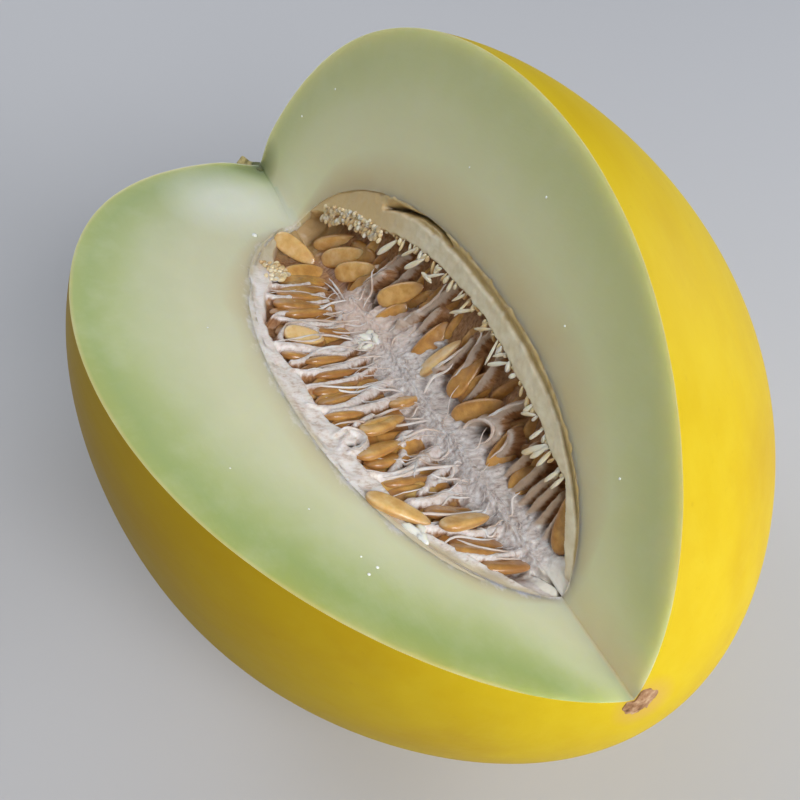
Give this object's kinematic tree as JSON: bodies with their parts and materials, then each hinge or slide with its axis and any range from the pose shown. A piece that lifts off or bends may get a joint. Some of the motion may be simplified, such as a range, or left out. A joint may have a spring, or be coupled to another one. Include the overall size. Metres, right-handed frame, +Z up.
{
  "type": "cut melon with a wedge removed",
  "caption": "Whole oval yellow melon lying on its side with one long wedge cut out, showing pale green flesh, a seed-filled cavity and a dry stem stub.",
  "frame": {"origin": "on the small flat underneath, straight below the middle of the melon's long axis", "axes": "+X along the melon from the stem end to the blossom end, +Z up, -Y the side that the gently sloping cut face opens to"},
  "size_m": [0.2107, 0.1622, 0.1499],
  "materials": {
    "melon_flesh": "waxy yellow rind outside, wet pale green flesh on the cut faces",
    "seed_core": "tan seeds with white pulp strands, wet",
    "stem_stub": "dry corky stalk"
  },
  "bodies": {
    "root": {"melon_flesh": "melon_flesh", "seed_core": "seed_core", "stem_stub": "stem_stub"}
  },
  "joints": []
}
